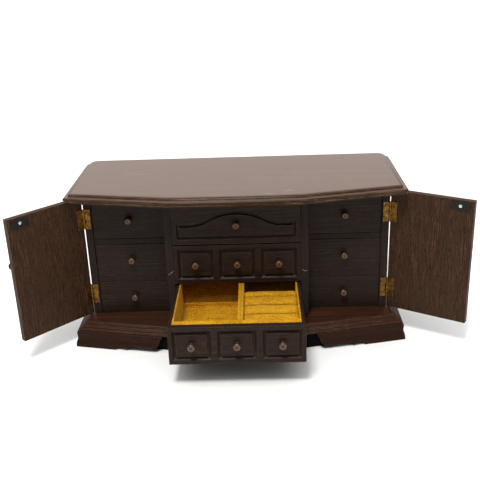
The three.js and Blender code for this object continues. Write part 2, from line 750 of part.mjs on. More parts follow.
/** The ring holder: soft rolls side by side with a slit between each pair, front to back. */
function ringRolls(width, pitches, height) {
  const depth = pitches.reduce((sum, pitch) => sum + pitch, 0);
  const low = height - ringSlitDepth;
  const last = pitches.length - 1;
  const side = new THREE.Path();
  side.moveTo(0, 0);
  let start = 0;
  pitches.forEach((pitch, i) => {
    const from = start + (i > 0 ? ringSlit / 2 : 0);
    const to = start + pitch - (i < last ? ringSlit / 2 : 0);
    const middle = (from + to) / 2;
    side.lineTo(from, i > 0 ? low : height - ringShoulder);
    side.quadraticCurveTo(from, height, middle, height);
    side.quadraticCurveTo(to, height, to, i < last ? low : height - ringShoulder);
    start += pitch;
  });
  side.lineTo(depth, 0);
  const points = side.getPoints(3);
  return loft([0, width].map((x) => points.map((p) => new THREE.Vector3(x, p.x, p.y))));
}

const rollsLeft = dividerX + dividerThickness / 2 + slotGap;
const rollsRight = bottomDrawer.trayWidth / 2 - trayWall - slotGap;
const rollsY = frontThickness + seat + trayWall + liningFront + slotGap;
const rollsZ = bottomTray.trayZ + trayFloor + slotGap;
const rollPitches = [...Array(ringRollCount).fill(ringRollPitch), ringBackRoll];
const rolls = ringRolls(rollsRight - rollsLeft, rollPitches, bottomTray.trayTop - ringRollDrop - rollsZ);
place(bottomDrawer.group, 'ring_rolls', rolls.translate(rollsLeft, rollsY, rollsZ), 'rolls');

export default armoire;
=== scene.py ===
"""Finishes, soft linings and small fittings for the tabletop jewelry armoire.

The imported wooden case, doors and drawers come in as a fixed frame. This script dresses them in their
real finishes, and adds what is soft or very small: the velvet drawer linings, the ring rolls, the
turned knobs, the hinge screws and the magnet catches.
"""

import json
import logging
import math
from dataclasses import dataclass, field
from enum import Enum

import bmesh
import bpy
import numpy as np
from mathutils import Matrix, Vector

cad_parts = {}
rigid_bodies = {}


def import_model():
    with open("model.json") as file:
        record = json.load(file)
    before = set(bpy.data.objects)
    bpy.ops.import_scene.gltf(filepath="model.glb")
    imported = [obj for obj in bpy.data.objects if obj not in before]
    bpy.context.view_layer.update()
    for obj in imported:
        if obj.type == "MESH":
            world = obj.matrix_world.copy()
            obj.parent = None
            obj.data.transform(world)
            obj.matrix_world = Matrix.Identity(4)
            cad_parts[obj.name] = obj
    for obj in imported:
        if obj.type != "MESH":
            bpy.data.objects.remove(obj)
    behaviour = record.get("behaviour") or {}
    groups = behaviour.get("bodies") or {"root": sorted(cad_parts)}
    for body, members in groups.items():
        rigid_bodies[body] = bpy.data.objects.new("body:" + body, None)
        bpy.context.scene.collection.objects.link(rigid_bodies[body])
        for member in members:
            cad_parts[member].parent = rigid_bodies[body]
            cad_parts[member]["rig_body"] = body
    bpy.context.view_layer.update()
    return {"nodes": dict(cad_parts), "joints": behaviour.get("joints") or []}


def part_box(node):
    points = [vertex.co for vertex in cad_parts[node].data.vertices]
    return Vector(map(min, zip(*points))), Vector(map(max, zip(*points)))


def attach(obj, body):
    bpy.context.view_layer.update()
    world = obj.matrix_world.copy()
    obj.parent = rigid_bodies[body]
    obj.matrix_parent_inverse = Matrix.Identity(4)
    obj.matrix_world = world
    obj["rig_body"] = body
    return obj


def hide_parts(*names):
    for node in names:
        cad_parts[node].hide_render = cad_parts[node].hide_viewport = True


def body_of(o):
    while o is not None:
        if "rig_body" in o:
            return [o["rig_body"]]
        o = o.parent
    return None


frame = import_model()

MM = 0.001
log = logging.getLogger("armoire")

Colour = tuple[float, float, float, float]
Point = tuple[float, float, float]


# ---------------------------------------------------------------- node and colour helpers
def srgb(code: str) -> Colour:
    """Turns an sRGB hex colour into the linear colour that a shader takes.

    Args:
        code: Six hex digits, red, green and blue.

    Returns:
        Linear red, green, blue and an alpha of 1.
    """
    parts = [int(code[i : i + 2], 16) / 255 for i in (0, 2, 4)]
    linear = [c / 12.92 if c <= 0.04045 else ((c + 0.055) / 1.055) ** 2.4 for c in parts]
    return (*linear, 1.0)


def add_node(
    tree: bpy.types.NodeTree,
    kind: str,
    settings: dict | None = None,
    values: dict | None = None,
    links: dict | None = None,
) -> bpy.types.Node:
    """Adds one shader node with its settings, fixed inputs and incoming links.

    Args:
        tree: The material's node tree.
        kind: The node's type without its "ShaderNode" prefix.
        settings: Node attributes by name.
        values: Constants by input name or index.
        links: Output sockets by input name or index.

    Returns:
        The new node.
    """
    node = tree.nodes.new("ShaderNode" + kind)
    for name, value in (settings or {}).items():
        setattr(node, name, value)
    for key, value in (values or {}).items():
        node.inputs[key].default_value = value
    for key, socket in (links or {}).items():
        tree.links.new(socket, node.inputs[key])
    return node


def ramp(
    tree: bpy.types.NodeTree, fac: bpy.types.NodeSocket, stops: list[tuple[float, Colour]]
) -> bpy.types.NodeSocket:
    """Adds a colour ramp.

    Args:
        tree: The material's node tree.
        fac: What drives the ramp.
        stops: Position and colour of each stop.

    Returns:
        The ramp's colour output.
    """
    node = add_node(tree, "ValToRGB", links={"Fac": fac})
    elements = node.color_ramp.elements
    while len(elements) < len(stops):
        elements.new(0.5)
    for element, (position, colour) in zip(elements, stops):
        element.position = position
        element.color = colour
    return node.outputs["Color"]


def mix_colour(
    tree: bpy.types.NodeTree,
    fac: bpy.types.NodeSocket | float,
    a: bpy.types.NodeSocket | Colour,
    b: bpy.types.NodeSocket | Colour,
    blend: str = "MIX",
) -> bpy.types.NodeSocket:
    """Mixes two colours.

    Args:
        tree: The material's node tree.
        fac: Share of b, a socket or a number.
        a: First colour, a socket or a constant.
        b: Second colour, a socket or a constant.
        blend: Blend mode.

    Returns:
        The mixed colour.
    """
    node = add_node(tree, "Mix", {"data_type": "RGBA", "blend_type": blend})
    for name, value in (("Factor_Float", fac), ("A_Color", a), ("B_Color", b)):
        target = next(s for s in node.inputs if s.identifier == name)
        if isinstance(value, bpy.types.NodeSocket):
            tree.links.new(value, target)
        else:
            target.default_value = value
    return next(s for s in node.outputs if s.identifier == "Result_Color")


def spread(
    tree: bpy.types.NodeTree, fac: bpy.types.NodeSocket, low: float, high: float, to_low: float, to_high: float
) -> bpy.types.NodeSocket:
    """Maps a value from one range to another, held at the ends.

    Args:
        tree: The material's node tree.
        fac: The value.
        low: Start of the range read.
        high: End of the range read.
        to_low: What low becomes.
        to_high: What high becomes.

    Returns:
        The mapped value.
    """
    values = {1: low, 2: high, 3: to_low, 4: to_high}
    return add_node(tree, "MapRange", values=values, links={0: fac}).outputs[0]


def multiply(
    tree: bpy.types.NodeTree, a: bpy.types.NodeSocket, b: bpy.types.NodeSocket | float
) -> bpy.types.NodeSocket:
    """Multiplies two values.

    Args:
        tree: The material's node tree.
        a: First value.
        b: Second value, a socket or a number.

    Returns:
        The product.
    """
    if isinstance(b, bpy.types.NodeSocket):
        return add_node(tree, "Math", {"operation": "MULTIPLY"}, links={0: a, 1: b}).outputs[0]
    return add_node(tree, "Math", {"operation": "MULTIPLY"}, {1: b}, {0: a}).outputs[0]


def noise(
    tree: bpy.types.NodeTree, place: bpy.types.NodeSocket, across_mm: Point,
    detail: float = 2.0, seed: float = 0.0,
) -> bpy.types.NodeSocket:
    """Adds soft noise whose patches have a real size.

    Args:
        tree: The material's node tree.
        place: Coordinates in metres.
        across_mm: Size of a patch along X, Y and Z in millimetres.
        detail: Octaves of finer noise.
        seed: Shift of the pattern.

    Returns:
        The noise, about 0.5 in the middle.
    """
    scale = tuple(1 / (size * MM) for size in across_mm)
    moved = add_node(
        tree, "Mapping", {"vector_type": "POINT"}, {"Location": (seed, seed * 1.7, seed * 0.6), "Scale": scale},
        {"Vector": place},
    )
    values = {"Scale": 1.0, "Detail": detail, "Roughness": 0.55}
    return add_node(tree, "TexNoise", values=values, links={"Vector": moved.outputs[0]}).outputs[0]


def new_material(
    name: str,
) -> tuple[bpy.types.Material, bpy.types.NodeTree, bpy.types.Node, bpy.types.NodeSocket]:
    """Makes an empty material.

    Args:
        name: The finish's name.

    Returns:
        The material, its tree, its Principled shader, and object coordinates in metres.
    """
    material = bpy.data.materials.new(name)
    material.use_nodes = True
    tree = material.node_tree
    tree.nodes.clear()
    shader = add_node(tree, "BsdfPrincipled")
    add_node(tree, "OutputMaterial", links={"Surface": shader.outputs[0]})
    place = add_node(tree, "TexCoord").outputs["Object"]
    return material, tree, shader, place


# ---------------------------------------------------------------- finishes
class Grain(Enum):
    """The direction that a board's grain runs."""

    ALONG_X = 0
    ALONG_Y = 1
    ALONG_Z = 2


@dataclass(frozen=True)
class StainedWood:
    """Mahogany-type hardwood, stained dark and sprayed with a thin satin lacquer."""

    name: str
    base: str
    dark: str
    light: str
    worn: str
    grain: Grain = Grain.ALONG_X
    streak_mm: float = 1.3
    streak_length_mm: float = 70.0
    figure_mm: float = 16.0
    figure_length_mm: float = 190.0
    pore_mm: float = 0.45
    pore_length_mm: float = 5.0
    pores: float = 0.5
    rough: float = 0.42
    specular: float = 0.5
    coat: float = 0.25
    coat_rough: float = 0.3
    relief: float = 0.35
    edge_mm: float = 0.7
    wear: float = 0.6
    scratches: float = 0.0
    # colour for faces that face up: fading plus painted light from above
    faded_and_top_lit: str = ""
    seed: float = 0.0

    def along(self, length: float, width: float) -> Point:
        """A patch size with its long side on the grain."""
        size = [width, width, width]
        size[self.grain.value] = length
        return tuple(size)

    def build(self) -> bpy.types.Material:
        """Makes the wood: figure, streaks, pores, edge wear and satin lacquer."""
        material, tree, shader, place = new_material(self.name)
        figure = noise(tree, place, self.along(self.figure_length_mm, self.figure_mm), 3.0, self.seed)
        streak = noise(tree, place, self.along(self.streak_length_mm, self.streak_mm), 4.0, self.seed + 3)
        pore = noise(tree, place, self.along(self.pore_length_mm, self.pore_mm), 1.0, self.seed + 7)
        streaked = ramp(
            tree, streak, [(0.3, srgb(self.dark)), (0.5, srgb(self.base)), (0.72, srgb(self.light))]
        )
        shade = spread(tree, figure, 0.3, 0.7, 0.0, 0.75)
        figured = mix_colour(tree, shade, streaked, srgb(self.base))
        pored = mix_colour(tree, spread(tree, pore, 0.36, 0.46, self.pores, 0.0), figured, srgb(self.dark))
        upward = None
        if self.faded_and_top_lit:
            # flats that face the ceiling are painted lighter, partly bleached and polished by dusting and
            # partly painted light from above; the moulding is not
            normal = add_node(tree, "NewGeometry").outputs["True Normal"]
            tilt = add_node(tree, "SeparateXYZ", links={0: normal}).outputs["Z"]
            upward = spread(tree, tilt, 0.93, 0.995, 0.0, 1.0)
            pored = mix_colour(tree, multiply(tree, upward, 0.55), pored, srgb(self.faded_and_top_lit))
        colour = self.worn_edges(tree, place, pored)
        tree.links.new(colour, shader.inputs["Base Color"])
        rough = spread(tree, streak, 0.3, 0.7, self.rough - 0.06, self.rough + 0.08)
        tree.links.new(rough, shader.inputs["Roughness"])
        if self.coat:
            dull = spread(tree, figure, 0.3, 0.7, 0.75, 1.25)
            grainy = spread(tree, streak, 0.35, 0.65, self.coat * 0.55, self.coat * 1.45)
            sheen = multiply(tree, grainy, dull)
            if upward is not None:
                sheen = multiply(tree, sheen, spread(tree, upward, 0.0, 1.0, 0.1, 1.0))
                level = spread(tree, upward, 0.0, 1.0, self.specular * 0.35, self.specular)
                tree.links.new(level, shader.inputs["Specular IOR Level"])
            tree.links.new(sheen, shader.inputs["Coat Weight"])
        else:
            shader.inputs["Coat Weight"].default_value = 0.0
        shader.inputs["Coat Roughness"].default_value = self.coat_rough
        shader.inputs["Specular IOR Level"].default_value = self.specular
        height = add_node(tree, "Math", {"operation": "ADD"}, links={0: multiply(tree, streak, 0.6), 1: pore})
        bump = add_node(
            tree, "Bump", values={"Strength": self.relief, "Distance": 0.12 * MM},
            links={"Height": height.outputs[0]},
        )
        tree.links.new(bump.outputs[0], shader.inputs["Normal"])
        return material

    def worn_edges(
        self, tree: bpy.types.NodeTree, place: bpy.types.NodeSocket, colour: bpy.types.NodeSocket
    ) -> bpy.types.NodeSocket:
        """Rubs the lacquer and stain off the edges, in patches, and adds pale scratches.

        Args:
            tree: The material's node tree.
            place: Object coordinates.
            colour: The unworn colour.

        Returns:
            The colour with wear.
        """
        rounded = add_node(tree, "Bevel", {"samples": 6}, {"Radius": self.edge_mm * MM})
        flat = add_node(tree, "NewGeometry")
        dot = add_node(
            tree, "VectorMath", {"operation": "DOT_PRODUCT"},
            links={0: rounded.outputs[0], 1: flat.outputs["Normal"]},
        )
        edge = spread(tree, dot.outputs["Value"], 0.98, 0.86, 0.0, 1.0)
        patch = noise(tree, place, self.along(22, 7), 4.0, self.seed + 11)
        speck = noise(tree, place, self.along(3.5, 1.2), 2.0, self.seed + 13)
        rubbed = multiply(tree, edge, spread(tree, patch, 0.4, 0.62, 0.15, self.wear))
        rubbed = multiply(tree, rubbed, spread(tree, speck, 0.35, 0.6, 0.35, 1.0))
        colour = mix_colour(tree, rubbed, colour, srgb(self.worn))
        if self.scratches:
            line = noise(tree, place, self.along(26, 1.1), 1.0, self.seed + 17)
            spot = noise(tree, place, (34, 30, 30), 1.0, self.seed + 19)
            here = spread(tree, spot, 0.55, 0.66, 0.0, 1.0)
            cut = multiply(tree, spread(tree, line, 0.71, 0.76, 0.0, 1.0), here)
            colour = mix_colour(tree, multiply(tree, cut, self.scratches), colour, srgb(self.worn))
        return colour


@dataclass(frozen=True)
class FlockedVelvet:
    """Gold rayon velvet glued over card: a short dense pile that shows where it was stroked."""

    name: str = "gold_flocked_velvet"
    shade: str = "704a03"
    base: str = "aa760a"
    lit: str = "d8a01c"
    pile_mm: float = 0.5  # the pile is about 0.1 mm; drawn coarser, so that it shows
    nap_mm: float = 9.0
    seed: float = 0.0

    def build(self) -> bpy.types.Material:
        """Makes the velvet: pile speckle, stroked patches and an edge sheen."""
        material, tree, shader, place = new_material(self.name)
        pile = noise(tree, place, (self.pile_mm,) * 3, 2.0, self.seed)
        clump = noise(tree, place, (self.pile_mm * 3.4,) * 3, 3.0, self.seed + 2)
        nap = noise(tree, place, (self.nap_mm * 1.8, self.nap_mm, self.nap_mm), 2.0, self.seed + 5)
        speckled = ramp(tree, clump, [(0.28, srgb(self.shade)), (0.5, srgb(self.base)), (0.74, srgb(self.lit))])
        stroked = mix_colour(tree, spread(tree, nap, 0.4, 0.66, 0.0, 0.4), speckled, srgb(self.lit))
        colour = mix_colour(tree, spread(tree, pile, 0.35, 0.5, 0.35, 0.0), stroked, srgb(self.shade))
        tree.links.new(colour, shader.inputs["Base Color"])
        shader.inputs["Roughness"].default_value = 0.95
        shader.inputs["Specular IOR Level"].default_value = 0.2
        shader.inputs["Sheen Weight"].default_value = 0.35
        shader.inputs["Sheen Roughness"].default_value = 0.45
        shader.inputs["Sheen Tint"].default_value = srgb("f2c040")
        height = add_node(tree, "Math", {"operation": "ADD"}, links={0: pile, 1: clump})
        bump = add_node(
            tree, "Bump", values={"Strength": 0.6, "Distance": 0.25 * MM}, links={"Height": height.outputs[0]}
        )
        tree.links.new(bump.outputs[0], shader.inputs["Normal"])
        return material


@dataclass(frozen=True)
class PlatedMetal:
    """Pressed steel with a thin plating that has dulled and spotted with age."""

    name: str
    bright: str
    dull: str
    spot: str
    metallic: float = 1.0
    rough: float = 0.3
    spots: float = 0.5
    spot_mm: float = 1.6

    def build(self) -> bpy.types.Material:
        """Makes the metal: cloudy dulling, small tarnish spots and a rolled grain."""
        material, tree, shader, place = new_material(self.name)
        cloud = noise(tree, place, (5, 5, 5), 3.0)
        spot = noise(tree, place, (self.spot_mm,) * 3, 3.0, 4.0)
        rolled = noise(tree, place, (0.25, 0.25, 6.0), 2.0, 9.0)
        colour = mix_colour(tree, spread(tree, cloud, 0.35, 0.65, 0.0, 1.0), srgb(self.bright), srgb(self.dull))
        colour = mix_colour(tree, spread(tree, spot, 0.56, 0.66, 0.0, self.spots), colour, srgb(self.spot))
        tree.links.new(colour, shader.inputs["Base Color"])
        shader.inputs["Metallic"].default_value = self.metallic
        rough = spread(tree, spot, 0.4, 0.7, self.rough, self.rough + 0.25)
        tree.links.new(rough, shader.inputs["Roughness"])
        bump = add_node(
            tree, "Bump", values={"Strength": 0.25, "Distance": 0.03 * MM}, links={"Height": rolled}
        )
        tree.links.new(bump.outputs[0], shader.inputs["Normal"])
        return material


@dataclass(frozen=True)
class PaleFloor:
    """A plain white table top, matt paint."""

    name: str = "white_table"
    base: str = "f6f6f4"

    def build(self) -> bpy.types.Material:
        """Makes the floor's paint with a trace of unevenness."""
        material, tree, shader, place = new_material(self.name)
        cloud = noise(tree, place, (120, 120, 120), 3.0)
        colour = mix_colour(tree, spread(tree, cloud, 0.3, 0.7, 0.0, 1.0), srgb(self.base), srgb("f1f1ee"))
        tree.links.new(colour, shader.inputs["Base Color"])
        shader.inputs["Roughness"].default_value = 0.7
        return material


# Each wood below is the same kind of hardwood; what differs is the stain, the lacquer and the handling.
# Handled and dusted most: grey sheen under overhead light, with the lacquer gone from the moulding's arrises;
# its upward flats are painted lighter, partly fading and partly painted light from above
TOP_WOOD = StainedWood(
    "top_stained_mahogany", "38251a", "1a100a", "5d432f", "c09c76", faded_and_top_lit="66452c",
    streak_mm=2.4, rough=0.33, specular=0.4, coat=0.2, coat_rough=0.3, relief=0.9, wear=0.85, edge_mm=1.0,
    scratches=0.9, pores=0.7, seed=1.0,
)
# Reddest stain: the reeded base and the feet, low gloss, edges rubbed to grey-brown
BASE_WOOD = StainedWood(
    "base_stained_mahogany", "331c11", "190c07", "5c3722", "97745e",
    streak_mm=1.0, rough=0.42, specular=0.2, coat=0.0, relief=0.6, wear=0.9, edge_mm=1.0,
    scratches=0.5, seed=2.0,
)
# The feet are kicked and dusted: the same stain, duller and darker
FOOT_WOOD = StainedWood(
    "foot_stained_mahogany", "2a150b", "170b06", "3d2112", "7d6050",
    rough=0.5, specular=0.1, coat=0.0, wear=0.8, edge_mm=0.9, seed=2.5,
)
# Near black stain on the carcass, flat and dry, seen only between the drawers
CASE_WOOD = StainedWood(
    "case_stained_hardwood", "261c17", "17100d", "382b24", "75604f", grain=Grain.ALONG_Z,
    rough=0.6, specular=0.12, coat=0.0, wear=0.45, seed=3.0,
)
# The skirt is in the shade of the feet: painted shade, the stain drawn near black
SKIRT_PAINTED_SHADE = StainedWood(
    "skirt_stained_hardwood", "0c0a09", "070606", "14100e", "1e1814",
    rough=0.7, specular=0.05, coat=0.0, wear=0.2, seed=8.0,
)
# Dark walnut brown drawer fronts, dull lacquer, arrises of the routed panels rubbed lighter
FRONT_WOOD = StainedWood(
    "front_stained_hardwood", "271b14", "110b08", "443226", "8a7262",
    streak_mm=0.9, rough=0.45, specular=0.11, coat=0.0, relief=0.6, wear=0.8, edge_mm=0.8, pores=0.8, seed=4.0,
)
# Veneered door boards: warm brown with dark vertical streaks and open pores
DOOR_WOOD = StainedWood(
    "door_stained_veneer", "3c2718", "1a0f08", "5c3f28", "8a766a", grain=Grain.ALONG_Z,
    streak_mm=1.2, streak_length_mm=22.0, figure_mm=14.0, pores=0.8, pore_length_mm=5.0, pore_mm=0.7,
    rough=0.55, specular=0.12, coat=0.0, relief=0.5, wear=0.75, edge_mm=0.9, seed=5.0,
)
# Thin dark box sides of the drawers
TRAY_WOOD = StainedWood(
    "tray_stained_softwood", "241a15", "150f0b", "32261f", "5c4e46", grain=Grain.ALONG_Y,
    rough=0.65, specular=0.1, coat=0.0, wear=0.3, seed=6.0,
)
# Knobs are polished by fingers: glossier than the fronts, honey brown where the stain is rubbed off
KNOB_WOOD = StainedWood(
    "knob_turned_hardwood", "2c1c12", "160d08", "553620", "b07c42",
    streak_mm=0.8, streak_length_mm=8.0, rough=0.3, specular=0.3, coat=0.15, coat_rough=0.15,
    wear=1.0, edge_mm=0.9, seed=7.0,
)
# The rim of a knob's face: lighter where fingers have taken the stain off, plus a painted highlight ring
KNOB_RIM_WORN_AND_LIT = StainedWood(
    "knob_rubbed_hardwood", "5c3c20", "331f10", "8a6238", "b08850",
    streak_mm=0.8, streak_length_mm=6.0, rough=0.34, specular=0.35, coat=0.12, coat_rough=0.2,
    wear=0.6, seed=7.5,
)
# Unstained wood where an edge has chipped
RAW_WOOD = StainedWood(
    "raw_chipped_hardwood", "c9a682", "9c7a58", "dcc09c", "e0c8a8", grain=Grain.ALONG_X,
    rough=0.7, specular=0.2, coat=0.0, wear=0.1, seed=9.0,
)
# Butt hinges: thin brass plating gone brown and cloudy
BRASS = PlatedMetal("brass_plated_steel", "8c6630", "5a3f1e", "22170c", rough=0.34, spots=0.9)
# Strike plates and magnet catches: black oxide, slightly greasy sheen
BLACK_STEEL = PlatedMetal(
    "black_oxide_steel", "1c1c1e", "141416", "2c2a28", metallic=0.6, rough=0.42, spots=0.4,
)
# Bright zinc screws
ZINC = PlatedMetal("zinc_plated_screw", "d8dad8", "b4b6b4", "8a8a86", rough=0.25, spots=0.3)
# Gold velvet: saturated ochre, light where the pile stands towards the lamp
VELVET = FlockedVelvet()
# The same velvet, darker: painted shade, for the ring rolls' slits and the back pad of the left compartment
VELVET_PAINTED_SHADE = FlockedVelvet("gold_velvet_in_folds", "3e2803", "6a4606", "8e620c")


# ---------------------------------------------------------------- mesh helpers
def mesh_object(name: str, build: bmesh.types.BMesh, material: bpy.types.Material) -> bpy.types.Object:
    """Turns mesh data into an object in the scene, smooth shaded.

    Args:
        name: The piece's name.
        build: The finished bmesh, which is freed.
        material: The piece's finish.

    Returns:
        The object.
    """
    bmesh.ops.recalc_face_normals(build, faces=build.faces)
    mesh = bpy.data.meshes.new(name)
    build.to_mesh(mesh)
    build.free()
    mesh.materials.append(material)
    mesh.polygons.foreach_set("use_smooth", [True] * len(mesh.polygons))
    piece = bpy.data.objects.new(name, mesh)
    bpy.context.scene.collection.objects.link(piece)
    return piece


def add_modifier(piece: bpy.types.Object, kind: str, **settings: object) -> bpy.types.Modifier:
    """Adds a modifier with its settings.

    Args:
        piece: The object.
        kind: The modifier's type.
        settings: Its attributes.

    Returns:
        The modifier.
    """
    modifier = piece.modifiers.new(kind.lower(), kind)
    for name, value in settings.items():
        setattr(modifier, name, value)
    return modifier


def lathe(
    build: bmesh.types.BMesh, profile: list[tuple[float, float]], place: Matrix, segments: int = 24
) -> None:
    """Turns a profile about its axis.

    Args:
        build: Where the surface is added.
        profile: Radius and height pairs, from one end of the axis to the other.
        place: Where the axis stands.
        segments: Steps round the axis.
    """
    rings = []
    for radius, height in profile:
        if radius < 1e-7:
            rings.append([build.verts.new(place @ Vector((0, 0, height)))])
            continue
        turns = [2 * math.pi * i / segments for i in range(segments)]
        spots = [Vector((radius * math.cos(t), radius * math.sin(t), height)) for t in turns]
        rings.append([build.verts.new(place @ spot) for spot in spots])
    for low, high in zip(rings, rings[1:]):
        for i in range(segments):
            corners = [
                low[i % len(low)], low[(i + 1) % len(low)],
                high[(i + 1) % len(high)], high[i % len(high)],
            ]
            build.faces.new(list(dict.fromkeys(corners)))


def levels(node: str, axis: int) -> list[float]:
    """The distinct places of a CAD node's corners along an axis, to a hundredth of a millimetre.

    Args:
        node: The node's name.
        axis: 0, 1 or 2.

    Returns:
        The places in metres, lowest first.
    """
    found = {round(v.co[axis], 5) for v in frame["nodes"][node].data.vertices}
    return sorted(found)


# ---------------------------------------------------------------- wooden case
@dataclass
class CarriedNodes:
    """CAD nodes that keep their shape and get softened arrises and a real finish."""

    finishes: dict[str, bpy.types.Material]
    arris: dict[str, float] = field(
        default_factory=lambda: {
            "top_wood": 0.35, "base_wood": 0.35, "case_wood": 0.35, "door_wood": 0.45,
            "front_wood": 0.4, "tray_wood": 0.4, "brass": 0.18, "black_steel": 0.15,
        }
    )
    own_finish: dict[str, bpy.types.Material] = field(default_factory=dict)
    weld_mm: float = 0.005
    arris_angle: float = 50.0
    crease_angle: float = 40.0

    def dress(self) -> int:
        """Dresses every CAD node that is shown.

        Returns:
            How many nodes were dressed.
        """
        done = 0
        for name, piece in frame["nodes"].items():
            slot = piece.data.materials[0].name.split(".")[0]
            if slot not in self.finishes:
                continue
            piece.data.materials[0] = self.own_finish.get(name, self.finishes[slot])
            self.soften(piece, self.arris.get(slot, 0.3))
            done += 1
        return done

    def soften(self, piece: bpy.types.Object, arris: float) -> None:
        """Rounds a node's arrises a little and shades its flats flat.

        Args:
            piece: The CAD node's object.
            arris: Width of the rounding in millimetres.
        """
        mesh = piece.data
        mesh.polygons.foreach_set("use_smooth", [True] * len(mesh.polygons))
        if "custom_normal" in mesh.attributes:
            mesh.attributes.remove(mesh.attributes["custom_normal"])
        self.mark_creases(mesh)
        add_modifier(piece, "WELD", merge_threshold=self.weld_mm * MM)
        add_modifier(
            piece, "BEVEL", width=arris * MM, segments=2, limit_method="ANGLE",
            angle_limit=math.radians(self.arris_angle), miter_outer="MITER_ARC",
        )
        add_modifier(piece, "WEIGHTED_NORMAL", keep_sharp=True, weight=60)

    def mark_creases(self, mesh: bpy.types.Mesh) -> None:
        """Marks the edges sharp where two flats meet at a clear angle.

        Args:
            mesh: The node's mesh, whose triangles don't share corners.
        """
        met: dict[tuple, list[tuple[int, Vector]]] = {}
        for face in mesh.polygons:
            for loop in face.loop_indices:
                edge = mesh.loops[loop].edge_index
                pair = [mesh.vertices[v].co for v in mesh.edges[edge].vertices]
                ends = sorted(tuple(round(c, 5) for c in spot) for spot in pair)
                met.setdefault(tuple(ends), []).append((edge, face.normal.copy()))
        limit = math.cos(math.radians(self.crease_angle))
        sharp = [False] * len(mesh.edges)
        for sides in met.values():
            crease = any(a.dot(b) < limit for _, a in sides for _, b in sides)
            for edge, _ in sides:
                sharp[edge] = crease
        layer = mesh.attributes.get("sharp_edge") or mesh.attributes.new("sharp_edge", "BOOLEAN", "EDGE")
        layer.data.foreach_set("value", sharp)


@dataclass
class TurnedKnobs:
    """The turned mushroom knobs of the drawers and doors, with a dished ring on each face."""

    material: bpy.types.Material
    # the face's rim finish: finger wear and a painted highlight ring
    rubbed: bpy.types.Material
    radius: float = 4.6
    length: float = 9.0
    segments: int = 32

    def profile(self) -> list[tuple[float, float]]:
        """Radius and height pairs, in metres, from the foot to the middle of the face."""
        r, h = self.radius, self.length
        points = [
            (0, 0), (r * 0.6, 0), (r * 0.62, h * 0.04), (r * 0.6, h * 0.09), (r * 0.46, h * 0.15),
            (r * 0.4, h * 0.28), (r * 0.44, h * 0.42), (r * 0.62, h * 0.52), (r * 0.88, h * 0.57),
            (r * 0.98, h * 0.64), (r, h * 0.71), (r * 0.96, h * 0.8), (r * 0.84, h * 0.89),
            (r * 0.66, h * 0.96), (r * 0.52, h * 0.985), (r * 0.42, h * 0.965), (r * 0.3, h * 0.955),
            (r * 0.18, h * 0.975), (0, h * 0.985),
        ]
        return [(a * MM, b * MM) for a, b in points]

    def build(self) -> int:
        """Builds a knob for each CAD knob.

        Returns:
            How many knobs were made.
        """
        names = [n for n in frame["nodes"] if "knob" in n]
        for name in names:
            build = bmesh.new()
            lathe(build, self.profile(), self.place(name), self.segments)
            piece = mesh_object(f"turned_{name}", build, self.material)
            piece.data.materials.append(self.rubbed)
            foot = self.place(name).inverted()
            for face in piece.data.polygons:
                spot = foot @ face.center
                reach = math.hypot(spot.x, spot.y)
                # faces on the rim of the knob's face take the rim finish: wear and a painted highlight
                face.material_index = int(spot.z > 0.86 * self.length * MM and reach > 0.45 * self.radius * MM)
            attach(piece, body_of(frame["nodes"][name])[0])
            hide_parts(name)
        return len(names)

    def place(self, node: str) -> Matrix:
        """Where a knob's foot is and which way its axis points, from the CAD knob.

        Args:
            node: The CAD knob's name.

        Returns:
            A matrix whose Z runs from foot to face.
        """
        mesh = frame["nodes"][node].data
        points = np.array([v.co for v in mesh.vertices])
        centre = points.mean(0)
        axis = np.linalg.eigh(np.cov((points - centre).T))[1]
        spans = [np.ptp(points @ axis[:, i]) for i in range(3)]
        along = axis[:, int(np.argmin(spans))]
        along_all = points @ along
        # the knob's face is the wider end: more of its corners lie far from the axis there
        middle = (along_all.max() + along_all.min()) / 2
        spoke = points - centre - np.outer((points - centre) @ along, along)
        reach = np.linalg.norm(spoke, axis=1)
        if reach[along_all > middle].max() < reach[along_all < middle].max():
            along = -along
        low = (points @ along).min()
        foot = centre + along * (low - centre @ along)
        turn = Vector(along).to_track_quat("Z", "Y").to_matrix().to_4x4()
        return Matrix.Translation(Vector(foot)) @ turn


# ---------------------------------------------------------------- velvet
@dataclass(frozen=True)
class Sides:
    """One length for each side of a compartment, in millimetres."""

    left: float
    front: float
    right: float
    back: float

    @staticmethod
    def even(size: float) -> "Sides":
        """The same length on every side."""
        return Sides(size, size, size, size)


